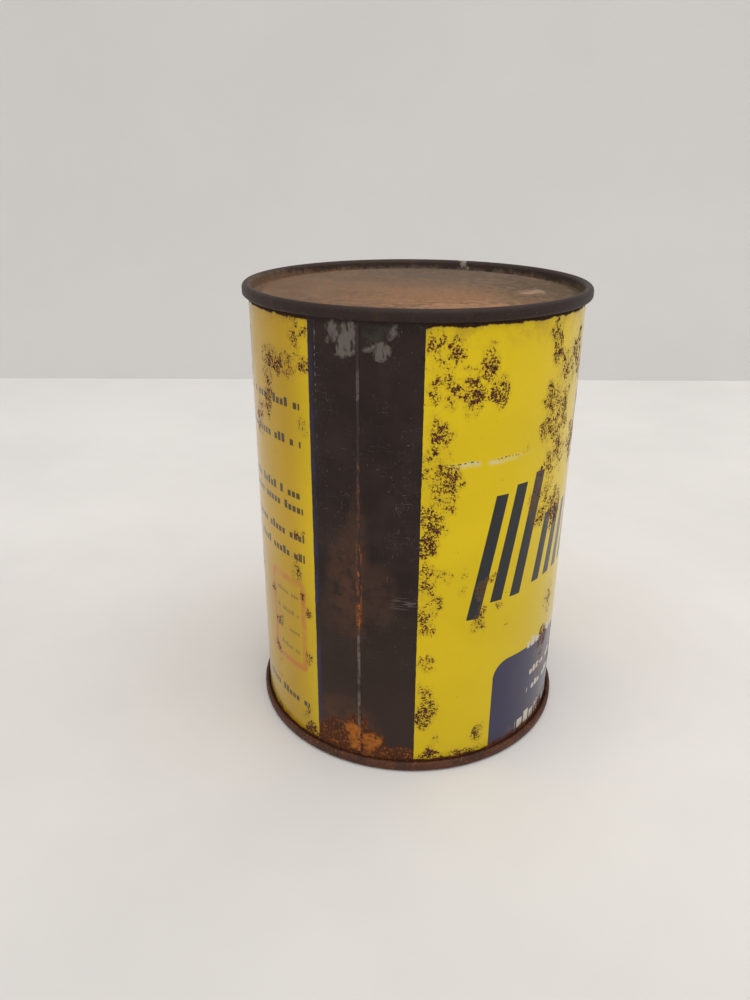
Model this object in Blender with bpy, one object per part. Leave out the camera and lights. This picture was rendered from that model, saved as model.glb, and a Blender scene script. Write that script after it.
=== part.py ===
"""A one-quart motor oil can: a soldered three-piece tinplate can, closed at both ends by double seams.

The body is one sheet, rolled round and hooked into itself along a lock seam on the inside of the wall. Near
each end the seam changes to a plain lap of two plies. Each end is a pressed disc whose rim is rolled together
with the body's flange, over a ring of sealing compound. Solder fills the groove of the side seam, and the can
holds its quart of oil.

Frame: metres, +Z up, the origin at the centre of the circle that the can stands on. The side seam faces -Y.
"""

import math

import bmesh
import bpy
from mathutils import Vector

MM = 0.001

# Driving dimensions, in millimetres: the trade size 401 x 509 is 4 1/16 in across the seams and 5 9/16 in tall.
CAN_HEIGHT = 141.3
SEAM_DIAMETER = 103.2
BODY_DIAMETER = 99.4
BODY_PLATE = 0.25
END_PLATE = 0.30
SEAM_HEIGHT = 3.3
US_QUART = 946353.0

# The pressed end: how deep its panel and its countersink groove lie below the rim, and its stiffening bead.
PANEL_DEPTH = 2.6
COUNTERSINK = 3.5
PANEL_RADIUS = 45.6
SHOULDER = (46.5, 0.35)
GROOVE = (47.2, 48.1)
GROOVE_FLANK = (48.8, 0.45)
BEAD_RADIUS = 36.0
BEAD_WIDTH = 3.0
BEAD_HEIGHT = 0.4

# Clearances, in millimetres.
CHUCK_WALL_GAP = 0.12
FLANGE_TOP_GAP = 0.45
COMPOUND_GAP = 0.10
SOLDER_GAP = 0.06
OIL_GAP = 0.30

# The wall is a prism of this many flats, and one of them, which faces -Y, holds the side seam.
FLATS = 60
HALF_FLAT = math.pi / FLATS

# Radii through the double seam, each the middle of its ply, from the inside out.
BODY_OUT = BODY_DIAMETER / 2
BODY_IN = BODY_OUT - BODY_PLATE
PLY_GAP = (SEAM_DIAMETER / 2 - BODY_OUT - 2 * END_PLATE - BODY_PLATE) / 3
CHUCK_WALL = BODY_IN - CHUCK_WALL_GAP - END_PLATE / 2
BODY_WALL = BODY_OUT - BODY_PLATE / 2
COVER_HOOK = BODY_OUT + PLY_GAP + END_PLATE / 2
BODY_HOOK = COVER_HOOK + END_PLATE / 2 + PLY_GAP + BODY_PLATE / 2
COVER_WALL = SEAM_DIAMETER / 2 - END_PLATE / 2

# Bends of the double seam: a radius, and a centre given as (radius from the axis, depth below the rim).
# The end's two bends have an odd number of chords, so that each has a flat at its very top or bottom.
END_CHORDS = 5
FLANGE_CHORDS = 4
CHORD_SAG = math.cos(math.pi / (2 * END_CHORDS))
CREST_RADIUS = (COVER_WALL - CHUCK_WALL) / 2
CREST_CENTRE = (CHUCK_WALL + CREST_RADIUS, END_PLATE / 2 + CREST_RADIUS * CHORD_SAG)
CURL_RADIUS = (COVER_WALL - COVER_HOOK) / 2
CURL_CENTRE = (COVER_HOOK + CURL_RADIUS, SEAM_HEIGHT - END_PLATE / 2 - CURL_RADIUS * CHORD_SAG)
FLANGE_RADIUS = (BODY_HOOK - BODY_WALL) / 2
FLANGE_CENTRE = (BODY_WALL + FLANGE_RADIUS, END_PLATE + FLANGE_TOP_GAP + BODY_PLATE / 2 + FLANGE_RADIUS)
COVER_HOOK_TIP = 1.45
BODY_HOOK_TIP = 2.60
COMPOUND_SKIRT = 2.10
COMPOUND_ARC = 126

# The side seam, in the flat that faces -Y: x runs along the flat, and depth runs inward from it.
PLY = 0.22
PLY_PITCH = 0.37
OUTER_PLY = BODY_PLATE / 2
LEFT_FOLD = -0.5
LEFT_HOOK_END = -1.6
RIGHT_FOLD = -2.0
RIGHT_HOOK_END = -0.8
STEP = (1.5, 0.3)
STEP_CHORDS = 5
SLOT = (-2.35, 1.9)
SLOT_MARGIN = 4.2
LAP_LENGTH = 3.0
NOTCH = 0.3
LOCK_MARGIN = SLOT_MARGIN + LAP_LENGTH + NOTCH
JOIN = 0.2
LOCK_DEPTH = OUTER_PLY + 3 * PLY_PITCH + PLY / 2


def clear_scene():
    for obj in list(bpy.data.objects):
        bpy.data.objects.remove(obj)


def material(name, colour, roughness, metallic):
    made = bpy.data.materials.new(name)
    made.use_nodes = True
    shader = made.node_tree.nodes["Principled BSDF"]
    shader.inputs["Base Color"].default_value = (*colour, 1.0)
    shader.inputs["Roughness"].default_value = roughness
    shader.inputs["Metallic"].default_value = metallic
    return made


def finish(name, bm, surface=None):
    """Makes one object of a mesh in millimetres, with its faces out and its round parts smooth."""
    bmesh.ops.remove_doubles(bm, verts=bm.verts, dist=1e-4)
    bmesh.ops.recalc_face_normals(bm, faces=bm.faces)
    bmesh.ops.scale(bm, vec=Vector((MM, MM, MM)), verts=bm.verts)
    mesh = bpy.data.meshes.new(name)
    bm.to_mesh(mesh)
    bm.free()
    mesh.shade_smooth()
    mesh.set_sharp_from_angle(angle=math.radians(30))
    obj = bpy.data.objects.new(name, mesh)
    bpy.context.scene.collection.objects.link(obj)
    if surface:
        mesh.materials.append(surface)
    return obj


def boolean(obj, tool, operation):
    """Cuts or joins a helper body, which is drawn as wire and left out of renders."""
    tool.hide_render = True
    tool.display_type = "WIRE"
    modifier = obj.modifiers.new(f"{operation.lower()} {tool.name}", "BOOLEAN")
    modifier.operation = operation
    modifier.solver = "EXACT"
    modifier.object = tool


def arc(centre, radius, start, end, chords):
    """Points round a bend. Degrees run from +r towards the rim, so 90 is the point nearest the rim."""
    angles = [math.radians(start + (end - start) * i / chords) for i in range(chords + 1)]
    return [(centre[0] + radius * math.cos(a), centre[1] - radius * math.sin(a)) for a in angles]


def ribbon(path, thickness):
    """The closed outline of a sheet of this thickness along an open path, with mitred corners."""
    points = [Vector(p) for p in path]
    runs = [(b - a).normalized() for a, b in zip(points, points[1:])]
    sides = [Vector((-run.y, run.x)) for run in runs]
    left, right = [], []
    for i, point in enumerate(points):
        before, after = sides[max(i - 1, 0)], sides[min(i, len(sides) - 1)]
        mitre = (before + after).normalized()
        offset = mitre * (thickness / 2 / mitre.dot(after))
        left.append(point + offset)
        right.append(point - offset)
    return [tuple(p) for p in left + right[::-1]]


def turned(name, outline, surface):
    """Spins a closed outline of (radius, height) points about Z, with a flat facing -Y."""
    bm = bmesh.new()
    first = -math.pi / 2 - HALF_FLAT
    ring = [bm.verts.new((r * math.cos(first), r * math.sin(first), z)) for r, z in outline]
    pairs = zip(ring, ring[1:] + ring[:1])
    # An edge that lies on the axis would spin into nothing.
    edges = [bm.edges.new(pair) for pair in pairs if max(v.co.xy.length for v in pair) > 0]
    bmesh.ops.spin(
        bm,
        geom=edges,
        cent=(0, 0, 0),
        axis=(0, 0, 1),
        angle=2 * math.pi,
        steps=FLATS,
        use_merge=True,
    )
    return finish(name, bm, surface)


def at_top(points):
    return [(r, CAN_HEIGHT - depth) for r, depth in points]


def at_bottom(points):
    return [(r, depth) for r, depth in points]


def prism(name, outline, low, high, surface=None):
    """Extrudes a closed outline of (x, depth) points, on the flat that faces -Y, from one height to another."""
    flat = BODY_OUT * math.cos(HALF_FLAT)
    bm = bmesh.new()
    face = bm.faces.new([bm.verts.new((x, depth - flat, low)) for x, depth in outline])
    made = bmesh.ops.extrude_face_region(bm, geom=[face])
    raised = [v for v in made["geom"] if isinstance(v, bmesh.types.BMVert)]
    bmesh.ops.translate(bm, vec=Vector((0, 0, high - low)), verts=raised)
    return finish(name, bm, surface)


def flange(place):
    """The body's edge, rolled out and back, as a path from the tip of its hook to the wall."""
    path = [(BODY_HOOK, BODY_HOOK_TIP)]
    path += arc(FLANGE_CENTRE, FLANGE_RADIUS, 0, 180, FLANGE_CHORDS)
    return place(path)


def step(plies):
    """The sheet's right edge as it steps in under the left one, by this many plies."""
    points = []
    for i in range(STEP_CHORDS + 1):
        share = i / STEP_CHORDS
        eased = share * share * (3 - 2 * share)
        points.append((STEP[0] + (STEP[1] - STEP[0]) * share, OUTER_PLY + plies * PLY_PITCH * eased))
    return points


def left_hook():
    """The left edge is the outer ply, and folds back to the left under itself."""
    path = [(SLOT[0] - JOIN, OUTER_PLY)]
    path += arc((LEFT_FOLD, OUTER_PLY + PLY_PITCH), PLY_PITCH, 90, -90, 4)
    path += [(LEFT_HOOK_END, OUTER_PLY + 2 * PLY_PITCH)]
    return ribbon(path, PLY)


def right_hook():
    """The right edge passes inside the left one, and folds back out between its plies."""
    path = [(SLOT[1] + JOIN, OUTER_PLY)]
    path += step(3)
    path += arc((RIGHT_FOLD, OUTER_PLY + 2 * PLY_PITCH), PLY_PITCH, -90, -270, 4)
    path += [(RIGHT_HOOK_END, OUTER_PLY + PLY_PITCH)]
    return ribbon(path, PLY)


def left_lap():
    return ribbon([(SLOT[0] - JOIN, OUTER_PLY), (LEFT_FOLD + PLY_PITCH, OUTER_PLY)], PLY)


def right_lap():
    path = [(SLOT[1] + JOIN, OUTER_PLY)]
    path += step(1)
    path += [(RIGHT_FOLD, OUTER_PLY + PLY_PITCH)]
    return ribbon(path, PLY)


def make_body(surface):
    """The rolled sheet: a wall with a flange at each end, opened where its two edges lock and lap."""
    path = flange(at_top) + flange(at_bottom)[::-1]
    body = turned("body_sheet", ribbon(path, BODY_PLATE), surface)
    beyond = 1.0
    opening = [(SLOT[0], -beyond), (SLOT[1], -beyond), (SLOT[1], beyond), (SLOT[0], beyond)]
    boolean(body, prism("seam_slot", opening, SLOT_MARGIN, CAN_HEIGHT - SLOT_MARGIN), "DIFFERENCE")
    lock = (LOCK_MARGIN, CAN_HEIGHT - LOCK_MARGIN)
    boolean(body, prism("left_hook", left_hook(), *lock), "UNION")
    boolean(body, prism("right_hook", right_hook(), *lock), "UNION")
    laps = {"bottom": SLOT_MARGIN, "top": CAN_HEIGHT - SLOT_MARGIN - LAP_LENGTH}
    for where, low in laps.items():
        high = low + LAP_LENGTH
        boolean(body, prism(f"{where}_left_lap", left_lap(), low - NOTCH - JOIN, high + NOTCH + JOIN), "UNION")
        boolean(body, prism(f"{where}_right_lap", right_lap(), low, high), "UNION")
    return body


def groove(left, plies):
    """The gap to the right of the outer ply's edge, and above the step of the ply that goes in under it."""
    away = PLY / 2 + SOLDER_GAP
    slope = 0.8 if plies > 1 else 0.35
    steps_down = [p for p in step(plies)[1:] if p[0] > STEP[1] + 0.3]
    return left + [(x - slope * away, depth - away) for x, depth in steps_down[::-1]]


def make_solder(surface):
    """The bead in the side seam's groove, over the lock and both laps."""
    fold = (LEFT_FOLD, OUTER_PLY + PLY_PITCH)
    over_lock = groove(arc(fold, PLY_PITCH + PLY / 2 + SOLDER_GAP, 70, -20, 4), 3)
    edge = LEFT_FOLD + PLY_PITCH + PLY / 2 + SOLDER_GAP
    over_lap = groove([(edge, 0.0), (edge, OUTER_PLY + PLY_PITCH - PLY / 2 - SOLDER_GAP)], 1)
    start, low = SLOT_MARGIN + JOIN, LOCK_MARGIN + JOIN
    solder = prism("side_seam_solder", over_lock, low, CAN_HEIGHT - low, surface)
    boolean(solder, prism("bottom_lap_bead", over_lap, start, low + JOIN), "UNION")
    boolean(solder, prism("top_lap_bead", over_lap, CAN_HEIGHT - low - JOIN, CAN_HEIGHT - start), "UNION")
    return solder


def make_end(name, place, surface):
    """A pressed end, from its centre out to the tip of its hook."""
    panel = PANEL_DEPTH + END_PLATE / 2
    groove_floor = COUNTERSINK + END_PLATE / 2
    path = [(0.0, panel), (BEAD_RADIUS - BEAD_WIDTH / 2, panel), (BEAD_RADIUS, panel - BEAD_HEIGHT)]
    path += [(BEAD_RADIUS + BEAD_WIDTH / 2, panel), (PANEL_RADIUS, panel), (SHOULDER[0], panel + SHOULDER[1])]
    path += [(GROOVE[0], groove_floor), (GROOVE[1], groove_floor)]
    path += [(GROOVE_FLANK[0], groove_floor - GROOVE_FLANK[1])]
    path += arc(CREST_CENTRE, CREST_RADIUS, 180, 0, END_CHORDS)
    path += arc(CURL_CENTRE, CURL_RADIUS, 0, -180, END_CHORDS)
    path += [(COVER_HOOK, COVER_HOOK_TIP)]
    return turned(name, place(ribbon(path, END_PLATE)), surface)


def make_compound(name, place, surface):
    """The lining between the end's curl and the body's flange, over the crest and down the outside."""
    outer_radius = CREST_RADIUS - END_PLATE / 2 - COMPOUND_GAP
    inner_radius = FLANGE_RADIUS + BODY_PLATE / 2 + COMPOUND_GAP
    outer = arc(CREST_CENTRE, outer_radius, COMPOUND_ARC, 0, 4)
    inner = arc(FLANGE_CENTRE, inner_radius, 0, COMPOUND_ARC, 4)
    skirt = [(outer[-1][0], COMPOUND_SKIRT), (inner[0][0], COMPOUND_SKIRT)]
    return turned(name, place(outer + skirt + inner), surface)


def flats_area(radius):
    return FLATS / 2 * radius**2 * math.sin(2 * HALF_FLAT)


def make_oil(surface):
    """One quart of oil, standing on the bottom end and clear of the side seam."""
    radius = BODY_IN - OIL_GAP
    inner = PANEL_RADIUS - 0.6
    floor = PANEL_DEPTH + END_PLATE + OIL_GAP
    shoulder = COUNTERSINK + END_PLATE + OIL_GAP
    side = OIL_GAP
    left, right = RIGHT_FOLD - PLY_PITCH - PLY - side, SLOT[1] + side
    depth = LOCK_DEPTH + side
    channel = (right - left) * (depth - BODY_PLATE - side)
    level = shoulder + (US_QUART - flats_area(inner) * (shoulder - floor)) / (flats_area(radius) - channel)
    outline = [(0.0, floor), (inner, floor), (inner + side, shoulder)]
    outline += [(radius, shoulder), (radius, level), (0.0, level)]
    oil = turned("oil_fill", outline, surface)
    beyond = 3.0
    slot = [(left, -beyond), (right, -beyond), (right, depth), (left, depth)]
    boolean(oil, prism("seam_channel", slot, -beyond, CAN_HEIGHT + beyond), "DIFFERENCE")
    return oil


def main():
    clear_scene()
    yellow = material("printed_tinplate", (0.72, 0.55, 0.03), 0.35, 0.0)
    rusted = material("rusted_tinplate", (0.09, 0.055, 0.04), 0.7, 0.0)
    solder = material("solder", (0.38, 0.37, 0.35), 0.45, 1.0)
    compound = material("sealing_compound", (0.16, 0.12, 0.08), 0.8, 0.0)
    oil = material("oil", (0.45, 0.24, 0.04), 0.08, 0.0)
    make_body(yellow)
    make_solder(solder)
    make_end("top_end", at_top, rusted)
    make_end("bottom_end", at_bottom, rusted)
    make_compound("top_seam_compound", at_top, compound)
    make_compound("bottom_seam_compound", at_bottom, compound)
    make_oil(oil)


main()
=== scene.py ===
"""The looks of a rusty one-quart motor oil can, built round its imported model.

The script is laid out as a Blender add-on and is run as a script. Lengths in the mesh code are metres. The
materials work in millimetres: "along" is the way round the wall from the side seam, "up" the height.
"""

import math

import bmesh
import bpy
import numpy as np
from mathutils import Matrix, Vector


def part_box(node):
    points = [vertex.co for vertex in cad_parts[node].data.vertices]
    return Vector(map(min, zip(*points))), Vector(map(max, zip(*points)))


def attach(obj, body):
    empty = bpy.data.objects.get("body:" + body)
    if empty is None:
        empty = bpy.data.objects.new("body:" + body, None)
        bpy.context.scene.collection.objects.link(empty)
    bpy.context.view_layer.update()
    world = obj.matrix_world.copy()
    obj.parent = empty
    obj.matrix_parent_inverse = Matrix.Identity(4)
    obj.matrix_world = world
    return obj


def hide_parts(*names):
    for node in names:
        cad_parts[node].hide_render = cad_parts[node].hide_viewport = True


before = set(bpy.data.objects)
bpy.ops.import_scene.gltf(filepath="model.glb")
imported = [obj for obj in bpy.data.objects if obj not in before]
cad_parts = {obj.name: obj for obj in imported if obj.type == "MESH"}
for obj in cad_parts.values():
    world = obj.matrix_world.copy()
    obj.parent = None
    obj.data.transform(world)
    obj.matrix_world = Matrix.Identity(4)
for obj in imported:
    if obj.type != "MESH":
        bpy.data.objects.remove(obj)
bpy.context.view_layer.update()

bl_info = {
    "name": "Motor Oil Can",
    "version": (1, 0, 0),
    "blender": (4, 5, 0),
    "location": "3D View > Sidebar > Oil Can",
    "description": "Models the looks of a rusty tinplate oil can round its packed parts",
    "category": "Object",
}

MM = 0.001
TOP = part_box("top_end")[1].z
SEAM_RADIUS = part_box("top_end")[1].x - 0.00008
SEAM_HEIGHT = 0.0033
PANEL_DEPTH = 0.0026
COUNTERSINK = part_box("top_end")[1].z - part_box("top_end")[0].z - 0.0003
BODY_PLATE = 0.00025
END_PLATE = 0.0003
WALL = SEAM_RADIUS - 0.0019
PLY_STEP = 0.00064
CLEARANCE = 0.00001
# The print is measured from here: millimetres round the wall from the CAD's seam line.
PRINT_START = 1.05

# The camera: the way it faces, its place in metres, how far it looks down and leans, and its lens in mm.
HEADING = math.radians(20.25)
EYE = Vector((0.0713, -0.2291, 0.1742))
PITCH_DOWN = 23.6
ROLL = -0.22
LENS = 28.17
WALL_BEYOND_EYE = 0.657

# Where rust gathers on the print, in millimetres: (along, up, reach along, reach up, spots, half size).
RUST_CLUSTERS = (
    (20, 115, 2, 20, 9, 2.5), (20, 75, 3, 25, 12, 3), (20, 35, 2, 20, 8, 2.5), (20, 95, 4, 6, 5, 4),
    (30, 125, 8, 10, 15, 3), (30, 60, 8, 10, 6, 2), (60, 115, 6, 20, 18, 3), (75, 115, 5, 20, 6, 5),
    (60, 90, 8, 10, 7, 3.5), (70, 30, 10, 25, 7, 4), (40, 80, 15, 40, 9, 1.5), (30, 10, 10, 6, 5, 2),
    (-20, 115, 3, 20, 6, 2.5), (-20, 60, 3, 15, 7, 2), (-20, 20, 3, 15, 4, 2), (-30, 120, 6, 10, 7, 3),
    (-35, 30, 3, 20, 7, 2.5), (-40, 100, 3, 10, 2, 3), (-55, 80, 8, 50, 6, 5),
)
# The dark bars that stand in for the big word: (left, low, high). The lines of small dashes: (left, base).
TALL_BARS = ((30.8, 52.5, 90.5), (38.2, 57.0, 92.5), (45.2, 57.0, 94.5))
TEXT_LINES = (
    (-128, 112.0), (-120, 101.2), (-130, 85.5), (-126, 81.0), (-122, 72.0), (-132, 65.4), (-72, 13.4),
)
# Rust in the bare stripe: a brown haze, solid rust at the foot, and its fresh orange part.
# Each spot is (along, up, half width, half height, strength).
HAZE_SPOTS = (
    (-4, 64, 6, 15, 0.8), (-1, 66, 3, 22, 0.7), (5, 61, 5, 9, 0.5), (-8, 52, 5, 6, 0.4),
    (-6, 10, 11, 12, 0.9),
)
FOOT_SPOTS = (
    (-5, 7, 9, 8, 1.0), (-1, 11, 4, 7, 1.0), (3, 7, 5, 6, 1.0), (-12, 4, 6, 5, 0.9), (11, 3, 9, 5, 1.0),
)
FRESH_SPOTS = (
    (-3, 13, 3, 2, 1.0), (-2, 9, 2, 5, 1.0), (-6, 13, 3, 1, 0.8), (3, 9, 3, 3, 1.0),
    (5, 9, 2, 2, 0.8), (2, 5, 5, 2, 0.5), (-11, 5, 4, 1, 0.4), (9, 4, 5, 1, 0.4),
)


class CanShape(bpy.types.PropertyGroup):
    """Fineness and unevenness of the visible sheet metal."""

    turns: bpy.props.IntProperty(
        name="Steps round", description="Faces round the can", default=288, min=48, max=480
    )
    wall_rows: bpy.props.IntProperty(
        name="Rows up", description="Rows of faces up the wall", default=84, min=12, max=200
    )
    dents: bpy.props.FloatProperty(
        name="Dents", description="Depth of the wall's soft dents", default=0.00018, unit="LENGTH"
    )
    groove: bpy.props.FloatProperty(
        name="Seam groove", description="Depth of the side seam's groove", default=0.00014, unit="LENGTH"
    )
    bead: bpy.props.FloatProperty(
        name="Solder bead", description="Width of the solder in the side seam", default=0.0011, unit="LENGTH"
    )


def paint(name, description, default):
    return bpy.props.FloatVectorProperty(
        name=name, description=description, default=default, subtype="COLOR", size=3, min=0, max=1
    )


class CanPaint(bpy.types.PropertyGroup):
    """Colours of the print, the bare metal and the rust."""

    yellow: paint("Yellow", "The ground colour of the print", (0.69, 0.495, 0.003))
    slate: paint("Slate", "The dark bars and lines of the print", (0.022, 0.024, 0.026))
    navy: paint("Navy", "The panel at the foot of the print", (0.040, 0.036, 0.076))
    orange: paint("Orange", "The frame on the side panel", (0.50, 0.12, 0.035))
    cream: paint("Cream", "The light bars in the navy panel", (0.55, 0.50, 0.42))
    stripe: paint("Stripe", "The unprinted stripe along the seam", (0.0275, 0.0180, 0.0158))
    speckle: paint("Speckle", "Rust that has broken through the print", (0.052, 0.015, 0.012))
    rust_dark: paint("Dark rust", "Old rust", (0.026, 0.015, 0.012))
    rust_red: paint("Red rust", "Rust on the seams", (0.085, 0.030, 0.014))
    rust_orange: paint("Orange rust", "Fresh rust at the seam's foot", (0.37, 0.120, 0.020))
    dust: paint("Dust", "Rust dust on the top panel", (0.176, 0.108, 0.062))
    solder: paint("Solder", "Dull solder", (0.145, 0.128, 0.110))


class StudioLook(bpy.types.PropertyGroup):
    """The stage's light and its surfaces."""

    key_power: bpy.props.FloatProperty(
        name="Key light", description="Power of the big soft light", default=7.8, unit="POWER"
    )
    fill_power: bpy.props.FloatProperty(
        name="Fill light", description="Power of the light from the left", default=0.5, unit="POWER"
    )
    sky: bpy.props.FloatProperty(name="Surround", description="Strength of the pale surround", default=0.755)
    floor: paint("Floor", "Colour of the floor", (0.755, 0.735, 0.715))
    wall: paint("Wall", "Colour of the wall behind", (0.62, 0.61, 0.60))


# Mesh tools


def deselect():
    if bpy.context.mode != "OBJECT":
        bpy.ops.object.mode_set(mode="OBJECT")
    bpy.ops.object.select_all(action="DESELECT")


def trace(name, path):
    """Draws an open profile at -Y through (radius, height) points, by extruding one point along it."""
    deselect()
    radius, height = path[0]
    bpy.ops.mesh.primitive_plane_add(size=MM, location=(0, 0, 0))
    obj = bpy.context.object
    obj.name = obj.data.name = name
    bpy.ops.object.mode_set(mode="EDIT")
    bpy.ops.mesh.select_all(action="SELECT")
    bpy.ops.mesh.merge(type="CENTER")
    bpy.ops.transform.translate(value=(0, -radius, height))
    for (r0, z0), (r1, z1) in zip(path, path[1:]):
        bpy.ops.mesh.extrude_region_move(TRANSFORM_OT_translate={"value": (0, r0 - r1, z1 - z0)})
    return obj


def spin_round(turns):
    """Spins the profile being edited once round the can's axis, and closes it."""
    bpy.ops.mesh.select_all(action="SELECT")
    bpy.ops.mesh.spin(steps=turns, angle=2 * math.pi, center=(0, 0, 0), axis=(0, 0, 1))
    bpy.ops.mesh.select_all(action="SELECT")
    bpy.ops.mesh.remove_doubles(threshold=0.002 * MM)
    bpy.ops.mesh.normals_make_consistent(inside=False)


def thicken(obj, plate):
    """Gives the sheet its thickness, half of it to each side."""
    deselect()
    obj.select_set(True)
    bpy.context.view_layer.objects.active = obj
    bpy.ops.object.modifier_add(type="SOLIDIFY")
    solidify = obj.modifiers[-1]
    solidify.thickness = plate
    solidify.offset = 0
    solidify.use_even_offset = True
    bpy.ops.object.modifier_apply(modifier=solidify.name)
    bpy.ops.object.shade_smooth_by_angle(angle=math.radians(40))


def roughen(obj, size, depth, group=""):
    """Pushes the surface in and out by soft noise."""
    texture = bpy.data.textures.new(obj.name + "_unevenness", type="CLOUDS")
    texture.noise_scale = size
    bpy.ops.object.modifier_add(type="DISPLACE")
    displace = obj.modifiers[-1]
    displace.texture = texture
    displace.texture_coords = "LOCAL"
    displace.strength = depth
    displace.vertex_group = group
    bpy.ops.object.modifier_apply(modifier=displace.name)


def pick(test, kind="verts"):
    """Selects what passes a test on the edited mesh, and nothing else."""
    bpy.ops.mesh.select_all(action="DESELECT")
    bm = bmesh.from_edit_mesh(bpy.context.object.data)
    for item in getattr(bm, kind):
        if test(item):
            item.select_set(True)
    bm.select_flush_mode()
    bmesh.update_edit_mesh(bpy.context.object.data)


def arc(centre, radius, start, end, steps):
    """Points round a bend, in degrees from straight out, counted upwards."""
    turn = [math.radians(start + (end - start) * i / steps) for i in range(steps + 1)]
    return [(centre[0] + radius * math.cos(a), centre[1] + radius * math.sin(a)) for a in turn]


def line(start, end, steps):
    return [
        (start[0] + (end[0] - start[0]) * i / steps, start[1] + (end[1] - start[1]) * i / steps)
        for i in range(steps + 1)
    ]


def ease(start, end, steps):
    """Points along a slope that is level at both ends."""
    points = []
    for i in range(steps + 1):
        share = i / steps
        smooth = share * share * (3 - 2 * share)
        points.append((start[0] + (end[0] - start[0]) * share, start[1] + (end[1] - start[1]) * smooth))
    return points


def finish_piece(piece, node, material):
    piece.data.materials.clear()
    piece.data.materials.append(material)
    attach(piece, "root")
    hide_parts(node)


# Node tools


class Sheet:
    """Adds nodes to a tree, and takes a number or a socket wherever a value is wanted."""

    def __init__(self, tree):
        self.tree = tree

    def add(self, kind, inputs=None, **settings):
        node = self.tree.nodes.new(kind)
        for name, value in settings.items():
            setattr(node, name, value)
        for name, value in (inputs or {}).items():
            self.feed(node.inputs[name], value)
        return node

    def feed(self, socket, value):
        if isinstance(value, bpy.types.NodeSocket):
            self.tree.links.new(value, socket)
        elif hasattr(value, "__len__") and len(value) == 3 and socket.type == "RGBA":
            socket.default_value = (*value, 1.0)
        else:
            socket.default_value = value

    def math(self, operation, *values, clamp=False):
        inputs = {i: value for i, value in enumerate(values)}
        return self.add("ShaderNodeMath", inputs, operation=operation, use_clamp=clamp).outputs[0]

    def times(self, a, b):
        return self.math("MULTIPLY", a, b)

    def plus(self, a, b, clamp=False):
        return self.math("ADD", a, b, clamp=clamp)

    def minus(self, a, b, clamp=False):
        return self.math("SUBTRACT", a, b, clamp=clamp)

    def swing(self, noise, amount):
        """A noise turned into a push to either side of nothing."""
        return self.times(self.minus(noise, 0.5), amount)

    def total(self, *values):
        """The largest of several masks."""
        result = values[0]
        for value in values[1:]:
            result = self.math("MAXIMUM", result, value)
        return result

    def fade(self, value, low, high, out_low=0.0, out_high=1.0):
        """Maps low..high to out_low..out_high, easing at both ends, and holds it outside."""
        inputs = {"Value": value, "From Min": low, "From Max": high, "To Min": out_low, "To Max": out_high}
        return self.add("ShaderNodeMapRange", inputs, interpolation_type="SMOOTHSTEP").outputs["Result"]

    def window(self, value, low, high, soft):
        """1 between low and high, falling to 0 within soft of them."""
        return self.times(self.fade(value, low - soft, low), self.fade(value, high, high + soft, 1.0, 0.0))

    def ragged(self, mask, noise, amount, low=0.35, high=0.6):
        """Gives a soft mask an uneven, fairly sharp edge."""
        uneven = self.plus(mask, self.swing(noise, amount))
        return self.times(self.fade(uneven, low, high), self.fade(mask, 0.0, 0.1))

    def mix(self, factor, a, b, blend="MIX"):
        node = self.tree.nodes.new("ShaderNodeMix")
        node.data_type = "RGBA"
        node.blend_type = blend
        for socket, value in ((node.inputs[0], factor), (node.inputs[6], a), (node.inputs[7], b)):
            self.feed(socket, value)
        return node.outputs[2]

    def tint(self, under, mask, share, colour):
        """Lays a colour over another where a mask is, at this share of its strength."""
        return self.mix(self.times(mask, share), under, colour)

    def noise(self, point, size, detail=2.0, roughness=0.5, distortion=0.0):
        inputs = {"Vector": point, "Scale": 1 / size, "Detail": detail, "Roughness": roughness}
        inputs["Distortion"] = distortion
        return self.add("ShaderNodeTexNoise", inputs).outputs["Fac"]

    def stretch(self, point, factors):
        inputs = {0: point, 1: factors}
        return self.add("ShaderNodeVectorMath", inputs, operation="MULTIPLY").outputs[0]

    def group(self, name, **inputs):
        node = self.tree.nodes.new("ShaderNodeGroup")
        node.node_tree = bpy.data.node_groups[name]
        for key, value in inputs.items():
            self.feed(node.inputs[key.replace("_", " ").capitalize()], value)
        return node.outputs


def new_group(name, inputs, outputs):
    """Starts a node group. A socket is (name, type) or (name, type, default), or just a name for a number."""
    tree = bpy.data.node_groups.new(name, "ShaderNodeTree")
    for direction, sockets in (("INPUT", inputs), ("OUTPUT", outputs)):
        for socket in sockets:
            label, kind, *default = (socket, "Float") if isinstance(socket, str) else socket
            made = tree.interface.new_socket(label, in_out=direction, socket_type="NodeSocket" + kind)
            if default:
                made.default_value = default[0]
    sheet = Sheet(tree)
    return sheet, sheet.add("NodeGroupInput").outputs, sheet.add("NodeGroupOutput").inputs


def new_material(name):
    """A material with an empty Principled shader: its sheet of nodes and the shader."""
    material = bpy.data.materials.new(name)
    material.use_nodes = True
    sheet = Sheet(material.node_tree)
    return material, sheet, material.node_tree.nodes["Principled BSDF"]


def group_place():
    """Where a point is: round the wall, up it, out from the axis, and as a point in millimetres."""
    outputs = ["Along", "Up", "Out", ("Point", "Vector")]
    sheet, _, out = new_group("can_place", [], outputs)
    coords = sheet.add("ShaderNodeTexCoord").outputs["Object"]
    scaled = sheet.add("ShaderNodeVectorMath", {0: coords, "Scale": 1 / MM}, operation="SCALE").outputs[0]
    x, y, z = sheet.add("ShaderNodeSeparateXYZ", {0: scaled}).outputs
    angle = sheet.math("ARCTAN2", x, sheet.times(y, -1.0))
    out_squared = sheet.plus(sheet.times(x, x), sheet.times(y, y))
    around = sheet.times(angle, WALL / MM)
    sheet.feed(out["Along"], sheet.minus(around, PRINT_START))
    sheet.feed(out["Up"], z)
    sheet.feed(out["Out"], sheet.math("SQRT", out_squared))
    sheet.feed(out["Point"], scaled)


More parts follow.
